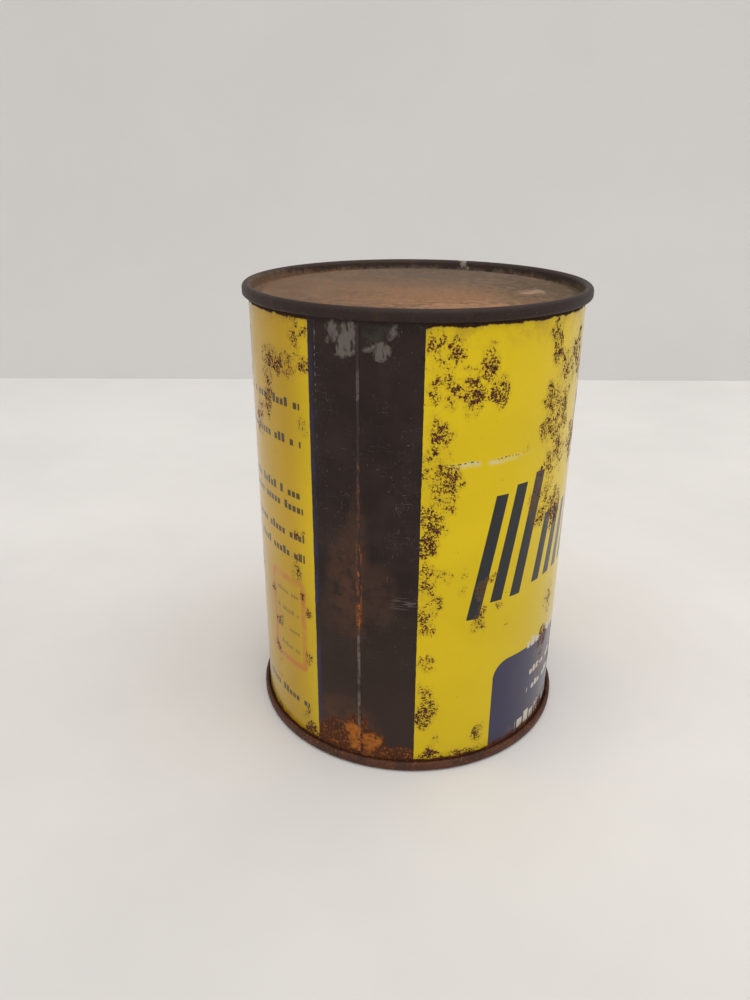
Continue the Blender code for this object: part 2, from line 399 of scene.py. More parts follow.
def group_panel():
    """A mask for a rectangle with round corners, which can lean."""
    inputs = [
        "Along", "Up", "Left", "Right", "Low",
        "High", ("Corner", "Float", 0.0), ("Lean", "Float", 0.0), ("Edge", "Float", 0.12),
    ]
    sheet, given, out = new_group("printed_panel", inputs, ["Mask", "Distance"])

    def reach(value, low, high):
        middle = sheet.times(sheet.plus(low, high), 0.5)
        half = sheet.times(sheet.minus(high, low), 0.5)
        away = sheet.math("ABSOLUTE", sheet.minus(value, middle))
        return sheet.plus(sheet.minus(away, half), given["Corner"])

    leaning = sheet.times(sheet.minus(given["Up"], given["Low"]), given["Lean"])
    across = reach(sheet.minus(given["Along"], leaning), given["Left"], given["Right"])
    upward = reach(given["Up"], given["Low"], given["High"])
    beyond_x, beyond_y = (sheet.math("MAXIMUM", v, 0.0) for v in (across, upward))
    squared = sheet.plus(sheet.times(beyond_x, beyond_x), sheet.times(beyond_y, beyond_y))
    inside = sheet.math("MINIMUM", sheet.math("MAXIMUM", across, upward), 0.0)
    distance = sheet.minus(sheet.plus(sheet.math("SQRT", squared), inside), given["Corner"])
    sheet.feed(out["Distance"], distance)
    shrunk = sheet.math("DIVIDE", distance, given["Edge"])
    sheet.feed(out["Mask"], sheet.minus(0.5, shrunk, clamp=True))


def group_bars():
    """A mask for a row of leaning bars, an even pitch apart."""
    inputs = [
        "Along", "Up", "Left", ("Pitch", "Float", 8.0), ("Width", "Float", 5.0),
        ("Count", "Float", 3.0), "Low", "High", ("Lean", "Float", 0.2),
    ]
    sheet, given, out = new_group("printed_bars", inputs, ["Mask"])
    leaning = sheet.times(sheet.minus(given["Up"], given["Low"]), given["Lean"])
    place = sheet.minus(sheet.minus(given["Along"], leaning), given["Left"])
    number = sheet.math("FLOOR", sheet.math("DIVIDE", place, given["Pitch"]))
    last = sheet.minus(given["Count"], 1.0)
    number = sheet.math("MINIMUM", sheet.math("MAXIMUM", number, 0.0), last)
    within = sheet.minus(place, sheet.times(number, given["Pitch"]))
    bar = sheet.group("printed_panel", along=within, up=given["Up"], left=0.0, right=given["Width"])
    panel = bar["Mask"].node
    sheet.feed(panel.inputs["Low"], given["Low"])
    sheet.feed(panel.inputs["High"], given["High"])
    sheet.feed(out["Mask"], bar["Mask"])


def group_dashes():
    """A mask for a line of small dashes of two heights, in groups, in place of words."""
    inputs = [
        "Along", "Up", "Left", "Right", "Base",
        ("Height", "Float", 2.2), ("Pitch", "Float", 1.7), "Seed",
    ]
    sheet, given, out = new_group("printed_dashes", inputs, ["Mask"])
    place = sheet.math("DIVIDE", given["Along"], given["Pitch"])
    number = sheet.plus(sheet.math("FLOOR", place), sheet.times(given["Seed"], 17.0))
    chance = sheet.add("ShaderNodeTexWhiteNoise", {"W": number}, noise_dimensions="1D").outputs["Value"]
    within = sheet.times(sheet.math("FRACT", place), given["Pitch"])
    dash = sheet.math("LESS_THAN", within, sheet.times(given["Pitch"], 0.76))
    spaced = sheet.math("GREATER_THAN", sheet.math("FLOORED_MODULO", number, 6.0), 0.5)
    kept = sheet.times(dash, sheet.times(spaced, sheet.math("GREATER_THAN", chance, 0.03)))
    tall = sheet.plus(0.7, sheet.times(sheet.math("GREATER_THAN", chance, 0.68), 0.3))
    ends = {"left": given["Left"], "right": given["Right"]}
    band = sheet.group("printed_panel", along=given["Along"], up=given["Up"], **ends)
    panel = band["Mask"].node
    sheet.feed(panel.inputs["Low"], given["Base"])
    height = sheet.times(given["Height"], tall)
    sheet.feed(panel.inputs["High"], sheet.plus(given["Base"], height))
    sheet.feed(out["Mask"], sheet.times(band["Mask"], kept))


def group_drop():
    """A mask for an oil drop with its point upwards."""
    inputs = ["Along", "Up", "Centre", "Base", ("Size", "Float", 8.0)]
    sheet, given, out = new_group("printed_drop", inputs, ["Mask"])
    x = sheet.math("DIVIDE", sheet.minus(given["Along"], given["Centre"]), given["Size"])
    z = sheet.math("DIVIDE", sheet.minus(given["Up"], given["Base"]), given["Size"])
    taper = sheet.fade(z, 0.7, 2.9, 1.0, 0.0)
    below = sheet.math("MAXIMUM", sheet.minus(1.0, z), 0.0)
    left_over = sheet.minus(1.0, sheet.math("POWER", below, 2.0))
    round_foot = sheet.math("SQRT", sheet.math("MAXIMUM", left_over, 0.0))
    half = sheet.math("MINIMUM", taper, round_foot)
    inside = sheet.minus(half, sheet.math("ABSOLUTE", x))
    sheet.feed(out["Mask"], sheet.fade(inside, 0.0, 0.03))


def group_speckle():
    """Fine rust specks that crowd together as the density rises, with a soft stain round them."""
    inputs = [("Point", "Vector"), "Density", ("Grain", "Float", 0.6)]
    sheet, given, out = new_group("rust_speckle", inputs, ["Mask", "Stain", "Shade"])
    ragged = sheet.swing(sheet.noise(given["Point"], 4.0, 4.0, 0.65), 1.9)
    crowd = sheet.fade(sheet.plus(given["Density"], ragged), 0.2, 0.95)
    crowd = sheet.times(crowd, sheet.fade(given["Density"], 0.0, 0.12))
    size = sheet.math("DIVIDE", 1.0, given["Grain"])
    texture = {"Vector": given["Point"], "Scale": size, "Detail": 3.0, "Roughness": 0.75}
    fine = sheet.add("ShaderNodeTexNoise", texture).outputs["Fac"]
    clump = sheet.noise(given["Point"], 1.9, 1.0)
    grain = sheet.plus(sheet.times(fine, 0.78), sheet.times(clump, 0.22))
    limits = {"Value": crowd, "From Min": 0.0, "From Max": 1.0, "To Min": 0.68, "To Max": 0.48}
    edge = sheet.add("ShaderNodeMapRange", limits).outputs["Result"]
    sheet.feed(out["Mask"], sheet.fade(sheet.minus(grain, edge), -0.008, 0.016))
    sheet.feed(out["Stain"], sheet.times(crowd, sheet.fade(grain, 0.35, 0.6)))
    sheet.feed(out["Shade"], sheet.noise(given["Point"], 0.9, 3.0, 0.6))


def group_scratches():
    """Short hairline scratches, mostly level, and a few small light specks."""
    inputs = [("Point", "Vector"), ("Amount", "Float", 0.5)]
    sheet, given, out = new_group("hair_scratches", inputs, ["Mask"])
    level = sheet.noise(sheet.stretch(given["Point"], (0.4, 0.4, 5.0)), 1.2, 2.0, 0.5, 1.2)
    slanted = sheet.noise(sheet.stretch(given["Point"], (3.2, 3.2, 0.7)), 1.1, 2.0, 0.5, 1.6)
    where = sheet.fade(sheet.noise(given["Point"], 8.0, 2.0), 0.42, 0.62)
    limit = sheet.minus(0.71, sheet.times(given["Amount"], 0.08))
    lines = sheet.total(
        sheet.fade(sheet.minus(level, limit), 0.0, 0.04),
        sheet.fade(sheet.minus(slanted, limit), 0.0, 0.04),
    )
    specks = sheet.fade(sheet.noise(given["Point"], 0.6, 0.0), 0.82, 0.88)
    sheet.feed(out["Mask"], sheet.total(sheet.times(lines, where), specks))


def group_spot():
    """A soft ragged spot round a place, both in millimetres."""
    inputs = [("Point", "Vector"), ("Centre", "Vector"), ("Size", "Float", 5.0), ("Ragged", "Float", 0.5)]
    sheet, given, out = new_group("soft_spot", inputs, ["Mask"])
    places = {0: given["Point"], 1: given["Centre"]}
    away = sheet.add("ShaderNodeVectorMath", places, operation="DISTANCE").outputs["Value"]
    share = sheet.math("DIVIDE", away, given["Size"])
    wobble = sheet.swing(sheet.noise(given["Point"], 3.0, 4.0, 0.6), given["Ragged"])
    reached = sheet.plus(share, sheet.times(wobble, 4.0))
    sheet.feed(out["Mask"], sheet.fade(reached, 0.35, 1.0, 1.0, 0.0))


def group_rust_skin():
    """Solid rust: a colour that drifts between dark, red and orange, and its grain as a height."""
    inputs = [
        ("Point", "Vector"), ("Dark", "Color"), ("Red", "Color"), ("Orange", "Color"),
        ("Redness", "Float", 0.4), ("Freshness", "Float", 0.1),
    ]
    sheet, given, out = new_group("rust_skin", inputs, [("Color", "Color"), "Height"])
    broad = sheet.noise(given["Point"], 7.0, 4.0, 0.65)
    fine = sheet.noise(given["Point"], 0.9, 4.0, 0.7)
    red = sheet.fade(sheet.plus(broad, sheet.times(given["Redness"], 0.5)), 0.5, 0.85)
    base = sheet.mix(red, given["Dark"], given["Red"])
    orange = sheet.fade(sheet.plus(fine, sheet.times(given["Freshness"], 0.5)), 0.62, 0.85)
    colour = sheet.mix(orange, base, given["Orange"])
    light = sheet.fade(fine, 0.2, 0.8, 0.75, 1.25)
    sheet.feed(out["Color"], sheet.mix(1.0, colour, light, "MULTIPLY"))
    sheet.feed(out["Height"], fine)


GROUPS = (
    group_place, group_panel, group_bars, group_dashes, group_drop, group_speckle, group_scratches,
    group_spot, group_rust_skin,
)


def bump(sheet, shader, height, strength, distance):
    node = sheet.add("ShaderNodeBump", {"Height": height, "Strength": strength, "Distance": distance})
    sheet.feed(shader.inputs["Normal"], node.outputs["Normal"])


def rust_colours(colours):
    return {"dark": colours.rust_dark, "red": colours.rust_red, "orange": colours.rust_orange}


def attribute(sheet, name):
    return sheet.add("ShaderNodeAttribute", attribute_name=name).outputs["Fac"]


def printed_design(sheet, colours, along, up, ground):
    """Lays the print's shapes over the ground colour, all round the can."""

    def panel(left, right, low, high, **more):
        given = {"left": left, "right": right, "low": low, "high": high, **more}
        return sheet.group("printed_panel", along=along, up=up, **given)

    def bars(left, pitch, width, count, low, high):
        given = {"left": left, "pitch": pitch, "width": width, "count": count, "low": low, "high": high}
        return sheet.group("printed_bars", along=along, up=up, lean=0.2, **given)["Mask"]

    def dashes(left, right, base, height, pitch, seed):
        given = {"left": left, "right": right, "base": base, "height": height, "pitch": pitch, "seed": seed}
        return sheet.group("printed_dashes", along=along, up=up, **given)["Mask"]

    tall = [panel(left, left + 4.0, low, high, lean=0.19)["Mask"] for left, low, high in TALL_BARS]
    ink = sheet.total(*tall, bars(54.5, 6.3, 3.6, 11, 58.5, 80.0))
    lines = [dashes(left, -18.8, base, 2.6, 1.95, i) for i, (left, base) in enumerate(TEXT_LINES)]
    heading = bars(-128.0, 9.0, 5.5, 9, 122.0, 130.0)
    colour = sheet.mix(sheet.total(ink, heading), ground, colours.slate)
    colour = sheet.mix(sheet.times(sheet.total(*lines), 0.9), colour, (0.030, 0.022, 0.014))
    frame_edge = sheet.math("ABSOLUTE", panel(-36.2, -20.2, 27.6, 57.4, corner=1.0)["Distance"])
    faded = sheet.fade(sheet.noise(sheet.group("can_place")["Point"], 5.0, 3.0, 0.6), 0.35, 0.6, 0.25, 0.65)
    outline = sheet.times(sheet.fade(frame_edge, 0.6, 1.6, 1.0, 0.0), faded)
    colour = sheet.mix(outline, colour, colours.orange)
    bases = (32.0, 38.5, 45.0, 51.5)
    notes = sheet.total(*(dashes(-34.5, -22.5, base, 1.5, 1.3, 20 + base) for base in bases))
    colour = sheet.tint(colour, notes, 0.45, colours.slate)
    emblem = sheet.group("printed_drop", along=along, up=up, centre=88.0, base=101.0, size=9.0)["Mask"]
    plate = panel(41.3, 114.0, -6.0, 35.0, corner=6.0)["Mask"]
    colour = sheet.mix(sheet.total(emblem, plate), colour, colours.navy)
    glint = sheet.group("printed_drop", along=along, up=up, centre=84.5, base=105.5, size=2.6)["Mask"]
    light = sheet.total(
        glint, dashes(53, 104, 4.6, 4.6, 3.6, 31), dashes(58, 100, 16.5, 2.4, 2.1, 32),
        dashes(58, 100, 23.0, 2.4, 2.1, 33), dashes(56, 98, 34.2, 3.4, 2.9, 34),
    )
    return sheet.mix(light, colour, colours.cream)


def crease_marks(sheet, along, up, point):
    """A crease in the print: a pale rubbed patch under a line of tiny dark cracks."""
    wander = sheet.swing(sheet.noise(point, 7.0, 2.0), 1.6)
    slope = sheet.plus(sheet.times(sheet.minus(along, 22.0), 0.035), 100.7)
    off = sheet.minus(sheet.plus(up, wander), slope)
    reach = sheet.times(sheet.fade(along, 22.0, 25.0), sheet.fade(along, 38.0, 52.0, 1.0, 0.0))
    reach = sheet.times(reach, sheet.minus(1.0, sheet.window(along, 33.2, 33.9, 2.4)))
    patchy = sheet.fade(sheet.noise(sheet.stretch(point, (0.5, 0.5, 1.2)), 2.6, 2.0), 0.40, 0.56, 0.2, 1.0)
    rubbed = sheet.times(sheet.fade(off, -1.7, -0.6), sheet.fade(off, 0.1, 0.4, 1.0, 0.0))
    rubbed = sheet.times(sheet.times(rubbed, reach), patchy)
    chance = sheet.noise(sheet.stretch(point, (1.0, 1.0, 0.2)), 0.7, 0.0)
    cracks = sheet.times(sheet.fade(sheet.math("ABSOLUTE", off), 0.1, 0.25, 1.0, 0.0), reach)
    cracks = sheet.times(cracks, sheet.fade(chance, 0.5, 0.58))
    return rubbed, cracks


def solder_smears(sheet, along, up, point):
    """Solder wiped over the top of the stripe: the bright smears and the green-black stain between them."""
    push = sheet.swing(sheet.noise(point, 2.6, 3.0, 0.6), 5.0)
    wiped_along, wiped_up = sheet.plus(along, push), sheet.plus(up, push)

    def patch(left, right, low, high):
        given = {"left": left, "right": right, "low": low, "high": high, "corner": 1.4, "edge": 0.9}
        return sheet.group("printed_panel", along=wiped_along, up=wiped_up, **given)["Mask"]

    wiped = sheet.noise(sheet.stretch(point, (1.0, 1.0, 0.3)), 1.0, 2.0, 0.6)
    streaks = sheet.fade(wiped, 0.38, 0.52, 0.15, 1.0)
    left = sheet.total(patch(-9.0, -0.8, 131.8, 137.0), patch(-6.5, -0.8, 129.2, 133.0))
    right = sheet.total(
        patch(3.8, 8.0, 128.8, 132.6), patch(7.8, 9.6, 134.2, 136.8), patch(1.0, 4.0, 130.4, 131.6)
    )
    bright = sheet.times(sheet.total(left, sheet.times(right, 0.95)), streaks)
    return bright, patch(1.4, 8.0, 132.6, 137.0)


def printed_sheet_material():
    """Yellow litho print with painted shade round its left side, the bare stripe along the seam, and all the
    rust that has come through.
    """
    colours = bpy.context.scene.can_paint
    material, sheet, shader = new_material("printed_tinplate")
    along, up, _, point = sheet.group("can_place")
    rust, haze, foot, fresh = (attribute(sheet, name) for name in ("rust", "haze", "foot", "fresh"))
    mid_noise = sheet.noise(point, 4.0, 4.0, 0.65)

    tone = sheet.fade(sheet.noise(point, 38.0, 3.0), 0.3, 0.7, 0.93, 1.05)
    tone = sheet.times(tone, sheet.fade(up, 10.0, 75.0, 0.88, 1.0))
    ground = sheet.mix(1.0, colours.yellow, tone, "MULTIPLY")
    # Painted shade: the print turns darker and more golden round the can's left side.
    painted_shade_left = sheet.times(sheet.fade(along, -150.0, -120.0), sheet.fade(along, -26.0, -10.0, 1.0, 0.0))
    ground = sheet.mix(painted_shade_left, ground, sheet.mix(1.0, (0.50, 0.30, 0.003), tone, "MULTIPLY"))
    soiled = sheet.times(sheet.fade(up, 128.0, 138.0), sheet.fade(mid_noise, 0.42, 0.6))
    ground = sheet.tint(ground, soiled, 0.45, (0.40, 0.22, 0.02))
    printed = printed_design(sheet, colours, along, up, ground)
    rubbed, cracks = crease_marks(sheet, along, up, point)
    printed = sheet.tint(printed, rubbed, 0.6, (0.62, 0.60, 0.42))
    printed = sheet.mix(cracks, printed, (0.05, 0.05, 0.05))

    # Rust through the print, thickest at the foot and under the rim.
    edges = sheet.plus(sheet.fade(up, 3.0, 8.5, 0.7, 0.0), sheet.fade(up, 135.0, 139.0, 0.0, 0.5))
    density = sheet.plus(rust, edges, clamp=True)
    specks, stain, shade = sheet.group("rust_speckle", point=point, density=density, grain=0.6)
    printed = sheet.tint(printed, stain, 0.6, (0.28, 0.14, 0.02))
    speck_colour = sheet.mix(sheet.fade(shade, 0.42, 0.6), colours.speckle, (0.11, 0.034, 0.020))
    printed = sheet.mix(specks, printed, speck_colour)
    low_rust = sheet.ragged(sheet.fade(up, 2.5, 5.0, 1.0, 0.0), mid_noise, 1.2)
    low_rust = sheet.total(low_rust, sheet.ragged(sheet.fade(up, 135.5, 138.1), mid_noise, 1.3))
    skin, grain = sheet.group("rust_skin", point=point, redness=0.65, freshness=0.2, **rust_colours(colours))
    darker = sheet.mix(sheet.fade(up, 90.0, 120.0, 0.0, 0.85), skin, colours.rust_dark)
    printed = sheet.mix(low_rust, printed, darker)

    # The stripe without print, its wear and its rust.
    scratched = sheet.group("hair_scratches", point=point, amount=0.6)["Mask"]
    uneven = sheet.fade(sheet.noise(point, 12.0, 4.0, 0.6), 0.3, 0.7, 0.8, 1.25)
    bare = sheet.mix(1.0, colours.stripe, uneven, "MULTIPLY")
    scuff = sheet.times(sheet.window(along, 10.5, 15.5, 2.5), sheet.window(up, 57.5, 60.5, 1.0))
    scored = sheet.fade(sheet.noise(sheet.stretch(point, (0.3, 0.3, 2.5)), 1.3, 2.0), 0.50, 0.62)
    scratched = sheet.total(scratched, sheet.times(scuff, scored))
    bare = sheet.tint(bare, scratched, 0.35, (0.22, 0.19, 0.17))
    bare = sheet.mix(sheet.fade(up, 12.0, 70.0, 0.9, 0.0), bare, (0.041, 0.025, 0.020))
    brown = sheet.times(haze, sheet.fade(mid_noise, 0.26, 0.58))
    bare = sheet.mix(brown, bare, (0.088, 0.042, 0.026))
    seam_rust = sheet.times(sheet.window(along, -0.9, 0.2, 0.6), sheet.window(up, 53.0, 74.0, 5.0))
    seam_rust = sheet.times(seam_rust, sheet.fade(sheet.noise(point, 2.2, 3.0, 0.6), 0.4, 0.6))
    bare = sheet.mix(seam_rust, bare, (0.22, 0.060, 0.016))
    solid = sheet.ragged(foot, mid_noise, 1.3)
    bare = sheet.mix(solid, bare, skin)
    brightness = sheet.fade(sheet.noise(point, 1.8, 3.0, 0.6), 0.3, 0.6)
    orange = sheet.mix(brightness, (0.19, 0.060, 0.016), colours.rust_orange)
    soft_fresh = sheet.times(sheet.ragged(fresh, mid_noise, 2.4, 0.3, 0.8), sheet.fade(fresh, 0.05, 0.4))
    bare = sheet.mix(soft_fresh, bare, orange)

    bright, green = solder_smears(sheet, along, up, point)
    green = sheet.times(green, sheet.fade(mid_noise, 0.35, 0.6))
    bare = sheet.tint(bare, green, 0.8, (0.046, 0.044, 0.036))
    bare = sheet.mix(bright, bare, colours.solder)

    edge_wobble = sheet.swing(sheet.noise(point, 2.0, 2.0), 0.3)
    stripe_along = sheet.plus(along, edge_wobble)

    def column(left, right, low=-9.0, high=160.0):
        given = {"left": left, "right": right, "low": low, "high": high}
        return sheet.group("printed_panel", along=stripe_along, up=up, **given)["Mask"]

    in_stripe = column(-15.1, 16.6)
    colour = sheet.mix(in_stripe, printed, bare)
    worn = sheet.fade(sheet.noise(sheet.stretch(point, (1.0, 1.0, 0.4)), 3.0, 4.0, 0.65), 0.38, 0.6, 0.2, 0.9)
    worn = sheet.times(worn, sheet.minus(1.0, solid))
    worn = sheet.times(worn, sheet.fade(stripe_along, -14.3, -13.0, 1.0, 0.0))
    worn = sheet.times(worn, sheet.fade(up, 60.0, 125.0, 1.0, 0.65))
    colour = sheet.mix(sheet.times(column(-15.2, -12.9), worn), colour, colours.navy)
    beads = sheet.noise(sheet.stretch(point, (1.0, 1.0, 0.45)), 0.7, 3.0, 0.7)
    dashed = sheet.times(sheet.fade(beads, 0.5, 0.6), sheet.fade(up, 112.0, 130.0, 0.15, 0.6))
    beaded = sheet.times(column(-13.0, -12.7, 100.0, 138.0), dashed)
    colour = sheet.mix(beaded, colour, (0.30, 0.29, 0.28))
    sheet.feed(shader.inputs["Base Color"], colour)

    off_stripe = sheet.minus(1.0, in_stripe)
    rusty = sheet.total(
        sheet.times(sheet.total(specks, low_rust), off_stripe), sheet.times(solid, in_stripe)
    )
    soldered = sheet.times(bright, in_stripe)
    rough = sheet.mix(in_stripe, (0.28, 0.28, 0.28), (0.5, 0.5, 0.5))
    sheet.feed(shader.inputs["Roughness"], sheet.mix(rusty, rough, (0.85, 0.85, 0.85)))
    sheet.feed(shader.inputs["Metallic"], sheet.times(soldered, 0.5))
    lacquer = sheet.times(off_stripe, sheet.minus(1.0, rusty))
    sheet.feed(shader.inputs["Coat Weight"], sheet.times(lacquer, 0.6))
    shader.inputs["Coat Roughness"].default_value = 0.12
    shader.inputs["Coat IOR"].default_value = 1.3
    shader.inputs["Specular IOR Level"].default_value = 0.1
    height = sheet.times(rusty, sheet.plus(0.4, grain))
    height = sheet.plus(height, sheet.times(soldered, 0.6))
    height = sheet.minus(height, sheet.times(rubbed, 0.5))
    bump(sheet, shader, height, 0.6, 0.06 * MM)
    return material


def end_material(name, top):
    """A pressed end of bare tinplate gone to rust: a dark rim round a dusty or a rusty panel, with painted
    shade at the back of the panel and up its countersink wall.
    """
    colours = bpy.context.scene.can_paint
    material, sheet, shader = new_material(name)
    _, up, out, point = sheet.group("can_place")

    def patch(under, centre, size, ragged, share, colour):
        spot = sheet.group("soft_spot", point=point, centre=centre, size=size, ragged=ragged)["Mask"]
        return sheet.tint(under, spot, share, colour)

    back = sheet.fade(sheet.add("ShaderNodeSeparateXYZ", {0: point}).outputs["Y"], -12.0, 32.0, -0.33, 1.0)
    redness, freshness = (-0.1, -0.15) if top else (0.5, 0.12)
    skin, grain = sheet.group(
        "rust_skin", point=point, redness=redness, freshness=freshness, **rust_colours(colours)
    )
    broad = sheet.noise(point, 20.0, 4.0, 0.6)
    blotch = sheet.noise(point, 5.0, 4.0, 0.65)
    dust = sheet.mix(sheet.fade(broad, 0.4, 0.62), colours.dust, (0.145, 0.086, 0.052))
    dust = patch(dust, (10.0, -14.0, 138.0), 34.0, 0.8, 0.6, (0.27, 0.137, 0.062))
    dust = patch(dust, (44.0, 20.0, 138.0), 34.0, 0.8, 0.9, (0.085, 0.058, 0.030))
    # Painted shade: the back of the panel is darkened where the rim shades it.
    dust = patch(dust, (-4.0, 46.0, 138.0), 46.0, 0.8, 0.8, (0.105, 0.078, 0.058))
    dust = sheet.mix(sheet.fade(blotch, 0.54, 0.72, 0.0, 0.5), dust, (0.29, 0.135, 0.058))
    dust = patch(dust, (22.0, -30.0, 138.5), 16.0, 1.0, 0.55, (0.40, 0.20, 0.10))
    dust = patch(dust, (34.0, 4.0, 138.7), 5.0, 0.7, 0.6, (0.42, 0.27, 0.19))
    dust = sheet.mix(1.0, dust, sheet.fade(grain, 0.25, 0.75, 0.8, 1.2), "MULTIPLY")
    # Dust lies on the panel and climbs the rim's inner wall: to the crest in front, and raggedly behind.
    depth = sheet.minus(TOP / MM, up) if top else up
    inward = sheet.times(sheet.minus(46.0, out), 0.35)
    fringe = sheet.swing(sheet.noise(point, 2.6, 4.0, 0.65), 6.0)
    climb = sheet.minus(sheet.plus(sheet.plus(depth, inward), fringe), sheet.times(back, 2.1))
    panel = sheet.times(sheet.fade(climb, -1.4, 0.4, 0.12, 1.0), sheet.fade(out, 49.4, 50.2, 1.0, 0.0))
    # Painted shade: the dust darkens up the countersink wall, under the rim's crest.
    dust = sheet.mix(sheet.fade(depth, 0.3, 2.8, 0.6, 0.0), dust, (0.108, 0.082, 0.064))
    colour = sheet.mix(panel, skin, dust)
    colour = patch(colour, (2.6, 49.6, 141.0), 2.6, 1.6, 0.65, (0.38, 0.32, 0.24))
    nicks = sheet.group("hair_scratches", point=point, amount=0.4)["Mask"]
    colour = sheet.tint(colour, nicks, 0.3, (0.20, 0.15, 0.12))
    sheet.feed(shader.inputs["Base Color"], colour)
    sheet.feed(shader.inputs["Roughness"], sheet.mix(panel, (0.5, 0.5, 0.5), (0.85, 0.85, 0.85)))
    shader.inputs["Specular IOR Level"].default_value = 0.2
    bump(sheet, shader, sheet.plus(grain, sheet.times(blotch, 0.6)), 0.5, 0.12 * MM)
    return material


def solder_material():
    """Dull solder that shows in stretches, and rust over the rest of the seam."""
    colours = bpy.context.scene.can_paint
    material, sheet, shader = new_material("seam_solder")
    _, up, _, point = sheet.group("can_place")
    skin, grain = sheet.group("rust_skin", point=point, redness=0.9, freshness=0.5, **rust_colours(colours))
    patchy = sheet.noise(sheet.stretch(point, (1.0, 1.0, 0.4)), 1.6, 3.0, 0.6)
    strips = sheet.total(sheet.window(up, 31.0, 46.0, 2.0), sheet.window(up, 15.0, 26.5, 1.2))
    strips = sheet.total(strips, sheet.times(sheet.window(up, 120.5, 124.0, 2.5), 0.5))
    flecks = sheet.times(sheet.window(up, 96.0, 118.0, 4.0), sheet.fade(patchy, 0.57, 0.66, 0.0, 0.7))
    silver = sheet.total(sheet.times(strips, sheet.fade(patchy, 0.36, 0.52, 0.2, 1.0)), flecks)
    faint = sheet.times(sheet.window(up, 50.0, 98.0, 5.0), 0.35)
    rusty = sheet.total(sheet.window(up, 52.0, 74.0, 6.0), faint)
    rusty = sheet.times(rusty, sheet.fade(patchy, 0.42, 0.6))
    rusty = sheet.total(rusty, sheet.fade(up, 12.0, 15.5, 1.0, 0.0))
    fresh = sheet.fade(grain, 0.45, 0.75, 0.0, 0.75)
    colour = sheet.mix(rusty, colours.stripe, sheet.mix(fresh, skin, colours.rust_orange))
    shine = sheet.mix(sheet.fade(grain, 0.3, 0.7), (0.185, 0.155, 0.125), (0.085, 0.070, 0.055))
    sheet.feed(shader.inputs["Base Color"], sheet.mix(silver, colour, shine))
    sheet.feed(shader.inputs["Metallic"], sheet.times(silver, 0.4))
    sheet.feed(shader.inputs["Roughness"], sheet.mix(rusty, (0.5, 0.5, 0.5), (0.85, 0.85, 0.85)))
    shader.inputs["Specular IOR Level"].default_value = 0.3
    bump(sheet, shader, grain, 0.5, 0.05 * MM)
    return material


def compound_material():
    material, sheet, shader = new_material("dried_compound")
    point = sheet.group("can_place")["Point"]
    crumb = sheet.noise(point, 1.4, 4.0, 0.7)
    sheet.feed(shader.inputs["Base Color"], sheet.mix(crumb, (0.10, 0.07, 0.035), (0.22, 0.16, 0.09)))
    sheet.feed(shader.inputs["Roughness"], sheet.fade(crumb, 0.3, 0.7, 0.7, 0.9))
    bump(sheet, shader, crumb, 0.4, 0.05 * MM)
    return material


def oil_material():
    material, sheet, shader = new_material("motor_oil")
    point = sheet.group("can_place")["Point"]
    cloud = sheet.noise(point, 30.0, 2.0)
    sheet.feed(shader.inputs["Base Color"], sheet.mix(cloud, (0.30, 0.13, 0.015), (0.42, 0.20, 0.03)))
    shader.inputs["Roughness"].default_value = 0.05
    shader.inputs["IOR"].default_value = 1.47
    return material


# Pieces


def spread(spots, along, up):
    """How strongly a set of spots covers each point, 0 to 1."""
    cover = np.zeros(len(along))
    for s, z, half_width, half_height, strength in spots:
        distance = ((along - s) / (half_width * 1.25)) ** 2 + ((up - z) / (half_height * 1.25)) ** 2
        cover = np.maximum(cover, strength * np.clip(1 - distance, 0, 1) ** 0.6)
    return cover


def front_spots():
    """Rust on the seen half of the print: spots scattered about each cluster's middle, with a fixed seed."""
    chance = np.random.default_rng(509)
    spots = []
    for along, up, reach_along, reach_up, count, size in RUST_CLUSTERS:
        for _ in range(count):
            s = along + reach_along * chance.uniform(-1, 1)
            z = up + reach_up * chance.uniform(-1, 1)
            half = size * chance.uniform(0.6, 1.4)
            spots.append((s, z, half, half * chance.uniform(0.8, 1.8), chance.uniform(0.6, 1.0)))
    return spots


def back_spots():
    """Rust round the back of the can, where the print is seen from behind, scattered with a fixed seed."""
    chance = np.random.default_rng(401)
    spots = []
    for _ in range(70):
        along = chance.uniform(84, 262)
        along = along if along < 156 else along - 312
        half = chance.uniform(1.2, 6.5)
        up = chance.uniform(6, 136)
        spots.append((along, up, half, half * chance.uniform(0.8, 1.8), chance.uniform(0.5, 1.0)))
    return spots


def write_attribute(mesh, name, values):
    layer = mesh.attributes.new(name, "FLOAT", "POINT")
    layer.data.foreach_set("value", values.astype(np.float32))


def paint_rust(mesh):
    """Stores how rusty the print and the stripe are, at each point of the wall."""
    points = np.empty(len(mesh.vertices) * 3, np.float32)
    mesh.vertices.foreach_get("co", points)
    x, y, z = points.reshape(-1, 3).T / MM
    along = np.arctan2(x, -y) * WALL / MM - PRINT_START
    kinds = {"haze": HAZE_SPOTS, "foot": FOOT_SPOTS, "fresh": FRESH_SPOTS}
    kinds = {"rust": (*front_spots(), *back_spots()), **kinds}
    for name, spots in kinds.items():
        write_attribute(mesh, name, spread(spots, along, z))


